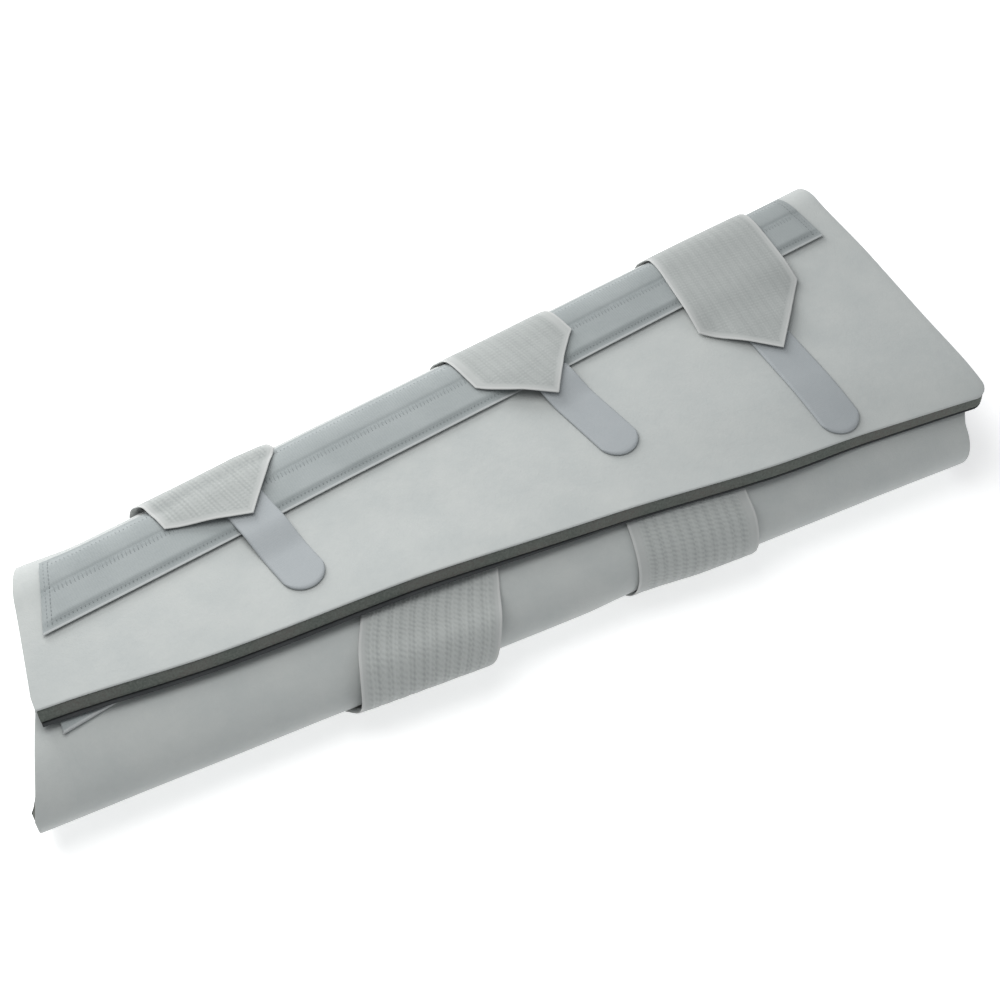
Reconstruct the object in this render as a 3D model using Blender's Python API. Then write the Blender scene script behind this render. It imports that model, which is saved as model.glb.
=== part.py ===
# Knee immobilizer: a tapered foam wrap rolled shut, with two stay pockets,
# three elastic straps and their hook tabs. Metres, +Z up, ankle end at -X.
#
# The outer skin of the rolled wrap is one path in each cross-section, walked
# from the free edge of the flap: back over the top, round the back fold, along
# the underside, round the front fold and in under the flap. Everything else
# lies on that skin, so it is placed by station x, walked length s and height.

import math
from collections import namedtuple

import bmesh
import bpy
import numpy as np

# Sizes
wrap_length = 0.500
foam = 0.0085            # cloth and foam together
gap = 0.0003             # clearance between pieces that touch
strap_gap = 0.0005       # the same under a strap, which turns over the folds
strap_width = 0.066
strap_thick = 0.0020
tab_width = 0.0228
tab_thick = 0.0015
pocket_width = 0.040
outer_pocket_thick = 0.0030
pocket_edge_thick = 0.0018
outer_pocket_left, outer_pocket_right = 0.0125, 0.4875
inner_pocket_thick = 0.0022
inner_pocket_left, inner_pocket_right = 0.0020, 0.4640
layer_gap = 0.0030       # between the inner layer and the flap over it
edge_bow = 0.0030        # the free edge of the flap is bowed back by this at mid length
lift = strap_thick + strap_gap  # the underside of the wrap, resting on its straps

# Cross-section sizes at the two ends; everything between is linear.
End = namedtuple("End", "height width free_edge back_round front_round inner_edge droop")
ankle = End(0.0592, 0.1287, -0.0263, 0.0300, 0.0449, 0.025, 0.000)
thigh = End(0.0574, 0.2004, -0.0900, 0.0289, 0.0266, 0.062, 0.003)

# Both ends are cut aslant: x of the cut at y = 0 and its slope for the flap,
# and x of the cut round the front fold.
ankle_cut, ankle_slope = 0.000, 0.206
thigh_cut, thigh_slope = 0.5015, 0.050
ankle_front_cut, ankle_under_cut = -0.0255, -0.0120
thigh_front_cut = 0.4840
corner_round = 0.009

# Where the parts lie in the frame: the middle of the box they fill.
middle_x = 0.2405
middle_y = 0.0008


def mix(a, b, t):
    return a + (b - a) * t


def smooth(t):
    t = min(1.0, max(0.0, t))
    return t * t * (3 - 2 * t)


# The skin
def section(x):
    """The cross-section sizes at station x."""
    t = x / wrap_length
    e = End(*(mix(a, b, t) for a, b in zip(ankle, thigh)))
    bow = edge_bow * math.sin(math.pi * min(1.0, max(0.0, t)))
    return e._replace(free_edge=e.free_edge + bow)


def skin_path(x):
    """Outer skin at station x: points (y, z), walked length, and piece ends."""
    e = section(x)
    top = e.height + lift
    inner_top = top - foam - layer_gap
    back = e.width / 2 - e.back_round
    front = -e.width / 2 + e.front_round
    half = (top - lift) / 2
    half_in = (inner_top - lift) / 2
    pieces = []
    y = np.linspace(e.free_edge, back, 40)
    drop = thigh.droop * smooth((x - 0.37) / 0.13)
    z = np.full(40, top) - drop * np.clip(1 - (y - e.free_edge) / 0.030, 0, 1) ** 2
    pieces.append(np.column_stack([y, z]))
    a = np.linspace(0, math.pi, 60)
    pieces.append(np.column_stack([back + e.back_round * np.sin(a),
                                   lift + half + half * np.cos(a)]))
    y = np.linspace(back, front, 40)
    pieces.append(np.column_stack([y, np.full(40, lift)]))
    pieces.append(np.column_stack([front - e.front_round * np.sin(a),
                                   lift + half_in - half_in * np.cos(a)]))
    y = np.linspace(front, e.inner_edge, 30)
    pieces.append(np.column_stack([y, np.full(30, inner_top)]))
    points = np.vstack([pieces[0]] + [p[1:] for p in pieces[1:]])
    steps = np.linalg.norm(np.diff(points, axis=0), axis=1)
    walked = np.concatenate([[0], np.cumsum(steps)])
    ends = walked[np.cumsum([len(pieces[0])] + [len(p) - 1 for p in pieces[1:]]) - 1]
    return points, walked, ends


_paths = {}


def path_at(x):
    """skin_path with its normals, kept for each station once it is made."""
    key = round(x, 5)
    if key not in _paths:
        points, walked, ends = skin_path(key)
        along = np.gradient(points, walked, axis=0)
        along /= np.linalg.norm(along, axis=1)[:, None]
        out = np.column_stack([-along[:, 1], along[:, 0]])
        _paths[key] = (points, walked, ends, out)
    return _paths[key]


def on_skin(x, s, height):
    """The point at station x and walked length s, raised off the skin."""
    points, walked, ends, out = path_at(x)
    p = [np.interp(s, walked, points[:, k]) for k in (0, 1)]
    n = np.array([np.interp(s, walked, out[:, k]) for k in (0, 1)])
    n /= np.linalg.norm(n)
    return (x, p[0] + n[0] * height, p[1] + n[1] * height)


def walk_to(x, where, value):
    """Walked length of a place: 'flap', 'under' and 'inner' take a y, and
    'back' and 'front' a share of the way round that fold."""
    points, walked, ends, out = path_at(x)
    e = section(x)
    if where == "flap":
        return value - e.free_edge
    if where == "back":
        return mix(ends[0], ends[1], value)
    if where == "under":
        return ends[1] + (e.width / 2 - e.back_round) - value
    if where == "front":
        return mix(ends[2], ends[3], value)
    return ends[3] + value - (-e.width / 2 + e.front_round)


# Meshes and materials
def material(name, color, rough):
    m = bpy.data.materials.new(name)
    m.use_nodes = True
    bsdf = m.node_tree.nodes["Principled BSDF"]
    bsdf.inputs["Base Color"].default_value = (*color, 1)
    bsdf.inputs["Roughness"].default_value = rough
    m.diffuse_color = (*color, 1)
    return m


def padded_sheet(name, rows, across, place, mat):
    """A closed body: a flat grid and a raised copy of it, joined round the rim.
    Each corner then moves to place(row, column, raised)."""
    bm = bmesh.new()
    bmesh.ops.create_grid(bm, x_segments=rows, y_segments=across, size=0.5)
    copy = bmesh.ops.extrude_face_region(bm, geom=bm.faces[:])["geom"]
    for v in copy:
        if isinstance(v, bmesh.types.BMVert):
            v.co.z = 1.0
    for v in bm.verts:
        row = round((v.co.x + 0.5) * rows)
        column = round((v.co.y + 0.5) * across)
        x, y, z = place(row, column, v.co.z > 0.5)
        v.co = (x - middle_x, y - middle_y, z)
    bmesh.ops.recalc_face_normals(bm, faces=bm.faces[:])
    mesh = bpy.data.meshes.new(name)
    bm.to_mesh(mesh)
    bm.free()
    mesh.materials.append(mat)
    obj = bpy.data.objects.new(name, mesh)
    bpy.context.scene.collection.objects.link(obj)
    return obj


# The wrap
def start_x(place, share):
    """x of the ankle cut for a place on the section."""
    e = ankle
    flap_front = ankle_cut + ankle_slope * e.free_edge
    flap_back = ankle_cut + ankle_slope * (e.width / 2 - e.back_round)
    tip = ankle_cut + ankle_slope * (e.width / 2)
    if place == 0:
        return mix(flap_front, flap_back, share)
    if place == 1:
        return mix(flap_back, tip, math.sin(math.pi * share))
    if place == 2:
        return mix(flap_back, ankle_under_cut, share)
    if place == 3 and share < 0.5:
        return mix(ankle_under_cut, ankle_front_cut, math.sin(math.pi * share))
    if place == 3:
        return mix(ankle_front_cut, flap_front, max(0.0, share - 0.55) / 0.45)
    return mix(flap_front, flap_front + 0.010, share)


def stop_x(place, share):
    """x of the thigh cut for a place on the section."""
    e = thigh
    back = thigh_cut + thigh_slope * (e.width / 2)
    if place == 0:
        y = mix(e.free_edge, e.width / 2 - e.back_round, share)
        cut = thigh_cut + thigh_slope * y
        walked = y - e.free_edge
        if walked < corner_round:
            r = corner_round
            cut -= r - math.sqrt(max(0.0, r * r - (r - walked) ** 2))
        return cut
    if place == 1:
        return back
    if place == 2:
        return mix(back, thigh_front_cut, share)
    if place == 3:
        return thigh_front_cut + 0.009 * smooth((share - 0.72) / 0.28)
    return thigh_front_cut + 0.009


def build_wrap(mat):
    stations = 12
    counts = (14, 15, 9, 15, 6)
    near_edge = [(0, 0.006), (0, 0.014), (0, 0.026)]
    places = [(k, i / n) for k, n in enumerate(counts) for i in range(n)]
    places = sorted(places + near_edge) + [(4, 1.0)]

    def place(row, column, raised):
        k, share = places[column]
        x = mix(start_x(k, share), stop_x(k, share), row / stations)
        ends = path_at(x)[2]
        before = 0.0 if k == 0 else ends[k - 1]
        return on_skin(x, mix(before, ends[k], share), 0.0 if raised else -foam)

    return padded_sheet("wrap", stations, len(places) - 1, place, mat)


# The stay pockets
def outer_pocket_low(x):
    """Walked length of the lower edge of the outer stay pocket."""
    return walk_to(x, "flap", 0.0085 + 0.0777 * x)


def build_outer_pocket(mat):
    rows, across = 24, 8

    def place(row, column, raised):
        side = column / across
        left = outer_pocket_left + 0.0130 * side
        right = outer_pocket_right - 0.0020 * side
        x = mix(left, right, row / rows)
        edge = min(side, 1 - side) * pocket_width
        edge = min(edge, x - left, right - x)
        thick = mix(pocket_edge_thick, outer_pocket_thick, smooth(edge / 0.005))
        return on_skin(x, outer_pocket_low(x) + pocket_width * side, gap + thick * raised)

    return padded_sheet("outer_stay_pocket", rows, across, place, mat)


def build_inner_pocket(mat):
    rows, across = 20, 5

    def place(row, column, raised):
        side = column / across
        x = mix(inner_pocket_left + 0.0060 * side, inner_pocket_right, row / rows)
        y = -0.0384 + 0.115 * x + pocket_width * side
        return on_skin(x, walk_to(x, "inner", y), gap + inner_pocket_thick * raised)

    return padded_sheet("inner_stay_pocket", rows, across, place, mat)


def pocket_rise(x, s):
    """Height that a strap needs at a place to clear the outer pocket."""
    low = outer_pocket_low(x)
    ramp, margin = 0.012, 0.002
    full = gap + outer_pocket_thick
    if s < low:
        return full * smooth((s - low + ramp + margin) / ramp)
    high = low + pocket_width
    return full * smooth((high + ramp + margin - s) / ramp)


# The straps and their tabs. Each strap is walked from its point on the flap over the back fold and on
# underneath. A row of its route is the middle line: station, place and value.
# The point lies tip_off to the thigh side of the middle line, and its slanting
# edges are left_cut and right_cut long along the strap.
Strap = namedtuple("Strap", "name tip_x tip_y lean tip_off left_cut right_cut route "
                   "back_slack front_left front_right")
straps = (
    Strap("ankle", 0.1270, 0.0253, 0.226, 0.0015, 0.0206, 0.0270,
          ((0.1100, "back", 0.55), (0.112, "under", 0.025), (0.134, "under", -0.015),
           (0.158, "front", 0.30), (0.1665, "front", 0.55), (0.1765, "front", 0.75),
           (0.1870, "front", 0.95), (0.190, "inner", -0.030)),
          0.0030, 0.0050, 0.0075),
    Strap("knee", 0.2985, 0.0188, 0.200, -0.0028, 0.0298, 0.0304,
          ((0.2915, "back", 0.40), (0.293, "under", 0.040), (0.304, "under", -0.030),
           (0.3150, "front", 0.30), (0.3185, "front", 0.60), (0.3225, "front", 0.85),
           (0.326, "inner", -0.052)),
          0.0012, 0.0005, 0.0035),
    Strap("thigh", 0.4180, -0.0134, -0.110, 0.0020, 0.0277, 0.0416,
          ((0.4265, "back", 0.10), (0.4290, "back", 0.60), (0.428, "under", 0.040),
           (0.427, "under", 0.000), (0.427, "under", -0.045)),
          0.0006, 0.0, 0.0),
)
Tab = namedtuple("Tab", "name top_x top_y end_x end_y")
tabs = (
    Tab("ankle", 0.1262, 0.0350, 0.1365, -0.0272),
    Tab("knee", 0.3005, 0.0320, 0.3125, -0.0320),
    Tab("thigh", 0.4178, 0.0020, 0.4185, -0.0735),
)


def route_of(strap):
    """The middle line in flat terms: an array of (x, s), evenly spaced."""
    away = np.array([-strap.lean, 1.0]) / math.hypot(1.0, strap.lean)
    side = np.array([away[1], -away[0]])
    start = np.array([strap.tip_x, strap.tip_y]) - side * strap.tip_off
    rows = [start + away * step for step in (0.0, 0.012, 0.024)]
    rows = [(x, walk_to(x, "flap", y)) for x, y in rows]
    rows += [(x, walk_to(x, where, v)) for x, where, v in strap.route]
    line = np.array(rows)
    fine = [line[0]]
    for i in range(len(line) - 1):
        p0 = line[max(i - 1, 0)]
        p1, p2 = line[i], line[i + 1]
        p3 = line[min(i + 2, len(line) - 1)]
        for t in np.linspace(0, 1, 13)[1:]:
            a = 2 * p1 + (p2 - p0) * t
            b = (2 * p0 - 5 * p1 + 4 * p2 - p3) * t * t
            c = (3 * p1 - p0 - 3 * p2 + p3) * t ** 3
            fine.append((a + b + c) / 2)
    return np.array(fine)


def route_length(line):
    """Real lengths along a route, measured on the skin."""
    points = np.array([on_skin(x, s, 0.0) for x, s in line])
    steps = np.linalg.norm(np.diff(points, axis=0), axis=1)
    return np.concatenate([[0], np.cumsum(steps)])


def along_route(line, walked, far):
    """Place on a route, and the step across it that is square to it on the
    skin and one metre long. A step of x alone slides along the tapered skin, so
    the angle between the two directions is measured there."""
    p = np.array([np.interp(far, walked, line[:, k]) for k in (0, 1)])
    q = np.array([np.interp(far + 0.003, walked, line[:, k]) for k in (0, 1)])
    o = np.array([np.interp(far - 0.003, walked, line[:, k]) for k in (0, 1)])
    d = q - o
    h = 0.002
    by_x = np.subtract(on_skin(p[0] + h, p[1], 0.0), on_skin(p[0] - h, p[1], 0.0)) / (2 * h)
    by_s = np.subtract(on_skin(p[0], p[1] + h, 0.0), on_skin(p[0], p[1] - h, 0.0)) / (2 * h)
    by_s /= np.linalg.norm(by_s)
    e, f = by_x @ by_x, by_x @ by_s
    across = np.array([f * d[0] + d[1], -(e * d[0] + f * d[1])])
    size = math.sqrt(e * across[0] ** 2 + 2 * f * across[0] * across[1] + across[1] ** 2)
    return p, across / size


def bump(s, low, high, soft):
    """One between low and high and nothing outside, with soft flanks."""
    return smooth((s - low + soft) / soft) * smooth((high + soft - s) / soft)


def strap_height(strap, x, s, far, v):
    """Height of a strap's underside: it climbs over the pocket and its own tab,
    and stands off the two folds where it is slack."""
    ends = path_at(x)[2]
    mid_back = (ends[0] + ends[1]) / 2
    mid_front = (ends[2] + ends[3]) / 2
    low = strap_gap + pocket_rise(x, s)
    low += strap.back_slack * bump(s, mid_back - 0.028, mid_back + 0.010, 0.020)
    slack = mix(strap.front_left, strap.front_right, (v + 1) / 2)
    low += slack * bump(s, mid_front + 0.003, mid_front + 0.014, 0.016)
    off_tip = abs(v * strap_width / 2 - strap.tip_off)
    over_tab = 1 - smooth((off_tip - tab_width / 2 - 0.008) / 0.008)
    over_tab *= 1 - smooth((far - 0.025) / 0.010)
    return low + (tab_thick + 3 * gap) * over_tab


def build_strap(strap, mat):
    line = route_of(strap)
    walked = route_length(line)
    total = float(walked[-1])
    rows, across = int(total / 0.0056), 10
    point = 2 * strap.tip_off / strap_width

    def place(row, column, raised):
        v = column / across * 2 - 1
        left = strap.left_cut * (point - v) / (point + 1)
        right = strap.right_cut * (v - point) / (1 - point)
        far = mix(max(left, right), total, row / rows)
        middle, square = along_route(line, walked, far)
        x, s = middle + square * v * strap_width / 2
        return on_skin(x, s, strap_height(strap, x, s, far, v) + strap_thick * raised)

    return padded_sheet("strap_" + strap.name, rows, across, place, mat)


def build_tab(tab, mat):
    start = np.array([tab.top_x, tab.top_y])
    along = np.array([tab.end_x, tab.end_y]) - start
    length = float(np.linalg.norm(along))
    along /= length
    side = np.array([along[1], -along[0]])
    radius = tab_width / 2
    rows, across = 12, 8
    edge = math.cos(math.pi * 0.06)

    def place(row, column, raised):
        v = -math.cos(math.pi * (0.06 + 0.88 * column / across)) / edge
        reach = length - radius + radius * math.sqrt(max(0.0, 1 - v * v))
        x, y = start + along * reach * row / rows + side * v * radius
        s = walk_to(x, "flap", y)
        return on_skin(x, s, gap + pocket_rise(x, s) + tab_thick * raised)

    return padded_sheet("hook_tab_" + tab.name, rows, across, place, mat)


def main():
    for obj in list(bpy.data.objects):
        bpy.data.objects.remove(obj)
    cloth = material("wrap_cloth", (0.55, 0.58, 0.57), 0.95)
    pocket = material("pocket_cloth", (0.36, 0.39, 0.40), 0.95)
    elastic = material("strap_elastic", (0.50, 0.53, 0.52), 0.9)
    hook = material("tab_hook", (0.40, 0.43, 0.46), 0.8)
    build_wrap(cloth)
    build_outer_pocket(pocket)
    build_inner_pocket(pocket)
    for strap, tab in zip(straps, tabs):
        build_strap(strap, elastic)
        build_tab(tab, hook)


main()
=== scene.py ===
# %% [markdown]
# A knee immobilizer, rolled shut and lying on its side: a tapered wrap of foam
# with a brushed cloth on both faces, a cloth pocket on the flap and one under it
# for flat stays, and three wide elastic straps whose points are held down by
# round-ended tabs. This script gives the packed model its looks. Everything
# soft is cut flat first, as in the workshop, and then laid on the rolled wrap.

# %% Load the packed model
import math
from collections import namedtuple

import bmesh
import bpy
import numpy as np
from mathutils import Matrix, Vector


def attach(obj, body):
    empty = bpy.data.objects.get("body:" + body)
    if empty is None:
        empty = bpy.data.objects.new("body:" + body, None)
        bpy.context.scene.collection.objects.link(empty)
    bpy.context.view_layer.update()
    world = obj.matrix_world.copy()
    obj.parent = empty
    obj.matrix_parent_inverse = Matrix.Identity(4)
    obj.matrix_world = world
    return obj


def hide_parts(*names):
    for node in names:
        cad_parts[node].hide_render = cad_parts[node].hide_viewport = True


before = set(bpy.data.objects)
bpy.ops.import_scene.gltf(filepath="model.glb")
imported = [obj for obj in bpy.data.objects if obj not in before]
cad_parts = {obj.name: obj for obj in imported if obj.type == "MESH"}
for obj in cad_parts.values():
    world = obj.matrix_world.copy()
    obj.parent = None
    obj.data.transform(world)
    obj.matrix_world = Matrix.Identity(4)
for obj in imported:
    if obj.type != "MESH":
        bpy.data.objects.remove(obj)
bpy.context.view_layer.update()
print("packed nodes:", sorted(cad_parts))

# %% [markdown]
# The sizes are the packed model's own, in metres. The wrap is described by its
# cross-section at the two ends, and everything between is linear. The straps
# pass under the wrap, so it lies a strap's thickness off the table.

# %% Sizes of the wrap's section
wrap_length = 0.500
foam = 0.0085
layer_gap = 0.0030
edge_bow = 0.0030
strap_width, strap_thick = 0.066, 0.0020
strap_gap = 0.0005
lift = strap_thick + strap_gap
middle_x, middle_y = 0.2405, 0.0008

End = namedtuple("End", "height width free_edge back_round front_round inner_edge droop")
ankle = End(0.0592, 0.1287, -0.0263, 0.0300, 0.0449, 0.025, 0.000)
thigh = End(0.0574, 0.2004, -0.0900, 0.0289, 0.0266, 0.062, 0.003)


def mix(a, b, t):
    return a + (b - a) * t


def smooth(t):
    t = np.clip(t, 0.0, 1.0)
    return t * t * (3 - 2 * t)


def unit(rows):
    return rows / np.linalg.norm(rows, axis=1)[:, None]


def walked_along(points):
    return np.concatenate([[0], np.cumsum(np.linalg.norm(np.diff(points, axis=0), axis=1))])


print("wrap:", wrap_length, "m long, its foam", foam, "m thick")

# %% [markdown]
# The outer skin of the rolled wrap is one path in each cross-section, walked
# from the free edge of the flap: back over the top, round the back fold, along
# the underside, round the front fold and in under the flap. It is worked out
# once at stations 5 mm apart, a little past the free edge too, and read between
# them, so a place is a station x, a walked length s and a height off the skin.

# %% The section's path
station_step, walk_step = 0.005, 0.0005
stations = np.arange(-0.045, 0.5451, station_step)
walk = np.arange(-0.010, 0.7001, walk_step)
flap_steps, fold_steps, under_steps, inner_steps = 60, 90, 40, 30
droop_from, droop_run, droop_width = 0.37, 0.13, 0.030


def skin_at(x):
    """Points, normals and ends of the five stretches of the path at station x."""
    t = x / wrap_length
    e = End(*(mix(a, b, t) for a, b in zip(ankle, thigh)))
    e = e._replace(free_edge=e.free_edge + edge_bow * math.sin(math.pi * min(1, max(0, t))))
    top = e.height + lift
    inner_top = top - foam - layer_gap
    back, front = e.width / 2 - e.back_round, e.front_round - e.width / 2
    y = np.linspace(e.free_edge, back, flap_steps)
    hang = thigh.droop * smooth((x - droop_from) / droop_run)
    z = top - hang * np.clip(1 - (y - e.free_edge) / droop_width, 0, 1) ** 2
    turn = np.linspace(0, math.pi, fold_steps)
    half, half_in = (top - lift) / 2, (inner_top - lift) / 2
    stretches = [
        np.column_stack([y, z]),
        np.column_stack([back + e.back_round * np.sin(turn), lift + half * (1 + np.cos(turn))]),
        np.column_stack([np.linspace(back, front, under_steps), np.full(under_steps, lift)]),
        np.column_stack([front - e.front_round * np.sin(turn),
                         lift + half_in * (1 - np.cos(turn))]),
        np.column_stack([np.linspace(front, e.inner_edge, inner_steps),
                         np.full(inner_steps, inner_top)]),
    ]
    points = np.vstack([stretches[0]] + [p[1:] for p in stretches[1:]])
    walked = walked_along(points)
    ends = walked[np.cumsum([len(stretches[0])] + [len(p) - 1 for p in stretches[1:]]) - 1]
    along = unit(np.gradient(points, walked, axis=0))
    rows = [points[:, 0], points[:, 1], -along[:, 1], along[:, 0]]
    table = np.array([np.interp(walk, walked, row) for row in rows])
    table[0] += np.minimum(walk, 0.0) * along[0, 0]
    table[1] += np.minimum(walk, 0.0) * along[0, 1]
    return table, ends, e


skin_table, skin_ends, skin_sizes = map(np.array, zip(*map(skin_at, stations)))


def size_at(x, name):
    return np.interp(x, stations, skin_sizes[:, End._fields.index(name)])


def end_at(x, k):
    """Walked length to the end of stretch k, and 0 for k = -1."""
    return np.interp(x, stations, skin_ends[:, k]) if k >= 0 else 0.0 * x


# %% [markdown]
# Nothing soft is cut or kept exactly. The knife wandered a little along the free
# edge, which also rises over the ankle strap and sinks between the straps.
# Handling left slow hollows, a swelling at the back fold's ankle end, and a dent
# in the front fold where the knee strap is pulled tight. Each is a smooth term
# on top of the true form, so whatever lies on the skin follows it too.

# %% The hand-cut edge and handling
Turn = namedtuple("Turn", "x out rise")
edge_turns = (Turn(0.000, -0.0004, 0.0), Turn(0.080, 0.0023, 0.0), Turn(0.190, -0.0002, 0.0016),
              Turn(0.280, -0.0001, 0.0), Turn(0.368, 0.0013, -0.0020),
              Turn(0.430, -0.0018, -0.0030), Turn(0.485, -0.0012, -0.0008),
              Turn(0.540, -0.0008, 0.0))
hollow_depth = 0.00022
rise_width = 0.045
ankle_swell, knee_pressed = 0.0030, 0.0018


def edge_turn(x, name):
    """How far the flap's hand-cut free edge lies outside or above its true line."""
    value = 0.0 * x + getattr(edge_turns[0], name)
    for a, b in zip(edge_turns, edge_turns[1:]):
        step = getattr(b, name) - getattr(a, name)
        value = value + step * smooth((x - a.x) / (b.x - a.x))
    return value


def share_of(x, s, k):
    """Share of the way along stretch k of the path."""
    return (s - end_at(x, k - 1)) / (end_at(x, k) - end_at(x, k - 1))


def hump(value, middle, reach):
    """One in the middle and nothing beyond this reach."""
    return smooth(1 - np.abs(value - middle) / reach)


def hand(x, s):
    """How far the cloth stands off its true form."""
    wave = np.sin(31.0 * x + 9.0 * s + 0.7) * np.sin(23.0 * s - 6.0 * x + 0.4)
    wave += 0.6 * np.sin(57.0 * x - 33.0 * s) * np.sin(41.0 * s + 17.0 * x + 1.9)
    rise = edge_turn(x, "rise") * smooth(1 - s / rise_width)
    swell = smooth(1 - (x - 0.010) / 0.040) * hump(share_of(x, s, 1), 0.35, 0.45)
    pressed = hump(x, 0.290, 0.035) * hump(share_of(x, s, 3), 0.30, 0.45)
    return hollow_depth * wave + rise + ankle_swell * swell - knee_pressed * pressed


print("the free edge wanders", max(turn.out for turn in edge_turns), "m at most")

# %% [markdown]
# Two helpers turn a place into a point. One reads the skin between its stations
# and raises the point along the skin's normal, never below the table. The other
# finds the walked length of a place that is known by its y or its share of a fold.

# %% Places on the skin


def on_skin(x, s, height):
    """Points at stations x and walked lengths s, raised off the skin: all arrays."""
    x, s, height = np.broadcast_arrays(np.asarray(x, float), s, height)
    i = np.clip((x - stations[0]) / station_step, 0, len(stations) - 1.001)
    j = np.clip((s - walk[0]) / walk_step, 0, len(walk) - 1.001)
    i0, j0 = i.astype(int), j.astype(int)
    u, v = i - i0, j - j0
    here = [mix(mix(skin_table[i0, k, j0], skin_table[i0 + 1, k, j0], u),
                mix(skin_table[i0, k, j0 + 1], skin_table[i0 + 1, k, j0 + 1], u), v)
            for k in range(4)]
    size = np.hypot(here[2], here[3])
    raised = height + hand(x, s)
    y = here[0] + here[2] / size * raised
    z = np.maximum(here[1] + here[3] / size * raised, 0.0)
    return np.stack([x - middle_x, y - middle_y, z], axis=-1)


def walk_to(x, where, value):
    """Walked length of a place: 'flap', 'under' and 'inner' take a y, and
    'back' and 'front' a share of the way round that fold."""
    if where == "flap":
        return value - size_at(x, "free_edge")
    if where == "back":
        return mix(end_at(x, 0), end_at(x, 1), value)
    if where == "under":
        return end_at(x, 1) + size_at(x, "width") / 2 - size_at(x, "back_round") - value
    if where == "front":
        return mix(end_at(x, 2), end_at(x, 3), value)
    return end_at(x, 3) + value + size_at(x, "width") / 2 - size_at(x, "front_round")


flap_middle = on_skin(wrap_length / 2, walk_to(wrap_length / 2, "flap", 0.0), 0.0)
print("the middle of the flap lies at", flap_middle.round(3))

# %% [markdown]
# The camera stands where the photographer stood: in front of the ankle end and
# well above, looking down along the wrap, on a lens that keeps the taper. Its
# place and angles are real ones, worked out from the wrap's known corners.

# %% Camera
camera_place = Vector((-0.2692, -0.4865, 0.7667))
look_down, look_right, camera_roll = (math.radians(a) for a in (52.964, 30.107, 0.407))
lens_length = 64.094


def new_object(name, data):
    made = bpy.data.objects.new(name, data)
    bpy.context.scene.collection.objects.link(made)
    return made


camera_data = bpy.data.cameras.new("camera")
camera_data.sensor_fit = "HORIZONTAL"
camera_data.sensor_width = 36.0
camera_data.lens = lens_length
camera_data.clip_start = 0.05
camera = new_object("camera", camera_data)
turned = Matrix.Rotation(-look_right, 4, "Z") @ Matrix.Rotation(math.pi / 2 - look_down, 4, "X")
camera.matrix_world = Matrix.Translation(camera_place) @ turned @ Matrix.Rotation(camera_roll, 4, "Z")
bpy.context.scene.camera = camera
print("camera looks down", round(math.degrees(look_down), 1), "degrees")

# %% [markdown]
# The photograph has soft, even light from high up at the back and left, which
# burns out the top of the back fold, and a background that is all but white. A
# broad lamp overhead, a strong one far behind, a weak one in front at the thigh
# end and a pale room give the same.

# %% Light


def soft_light(name, place, aim, size, watts, tint=(1.0, 1.0, 1.0)):
    data = bpy.data.lights.new(name, "AREA")
    data.shape = "DISK"
    data.size = size
    data.energy = watts
    data.color = tint
    lamp = new_object(name, data)
    lamp.location = place
    lamp.rotation_euler = (Vector(aim) - Vector(place)).to_track_quat("-Z", "Y").to_euler()


soft_light("key_light", (-0.15, 0.11, 0.58), (-0.12, 0.0, 0.0), 0.6, 2.5, (1.0, 0.995, 0.985))
soft_light("back_light", (-0.20, 1.25, 0.60), (-0.05, 0.0, 0.03), 0.9, 15.0)
soft_light("fill_light", (0.75, -0.70, 0.40), (0.10, 0.0, 0.0), 0.8, 0.75)
room = bpy.data.worlds.new("room")
room.use_nodes = True
room.node_tree.nodes["Background"].inputs["Color"].default_value = (0.95, 0.975, 1.0, 1.0)
room.node_tree.nodes["Background"].inputs["Strength"].default_value = 0.38
bpy.context.scene.world = room
bpy.context.scene.view_settings.view_transform = "Standard"
print("lamps:", [o.name for o in bpy.data.objects if o.type == "LIGHT"])

# %% [markdown]
# Shader sums read best as sums. A Field is one socket of a material's nodes, and
# adding, multiplying or taking a cosine of it adds the Math node that does so.

# %% Shader sums


class Field:
    def __init__(self, finish, socket):
        self.finish = finish
        self.socket = socket

    def math(self, operation, *values):
        settings = {"operation": operation}
        return self.finish.node("ShaderNodeMath", settings, dict(enumerate((self,) + values)))

    def __add__(self, other):
        return self.math("ADD", other)

    __radd__ = __add__

    def __sub__(self, other):
        return self.math("SUBTRACT", other)

    def __rsub__(self, other):
        return self.math("MULTIPLY_ADD", -1.0, other)

    def __mul__(self, other):
        return self.math("MULTIPLY", other)

    __rmul__ = __mul__

    def __truediv__(self, other):
        return self.math("DIVIDE", other)

    def wave(self, pitch):
        """Ridges this far apart: 1 on a ridge, 0 in the furrow."""
        turn = self.math("MULTIPLY", 2 * math.pi / pitch)
        return turn.math("COSINE").math("MULTIPLY_ADD", 0.5, 0.5)

    def ramp(self, low, high):
        """0 below low and 1 above high, with a soft step between."""
        settings = {"interpolation_type": "SMOOTHSTEP"}
        return self.finish.node("ShaderNodeMapRange", settings, {"Value": self, 1: low, 2: high})


print("a field offers:", [name for name in vars(Field) if name[0] != "_"])

# %% [markdown]
# A Finish is one material and its shader. Its node method makes any other node.
# The rest are what the pieces share: a point's place on its flat cut, noise of a
# known size, a blend of two colours, and the last step, which gives the shader
# its colour and its relief.

# %% One material


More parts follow.
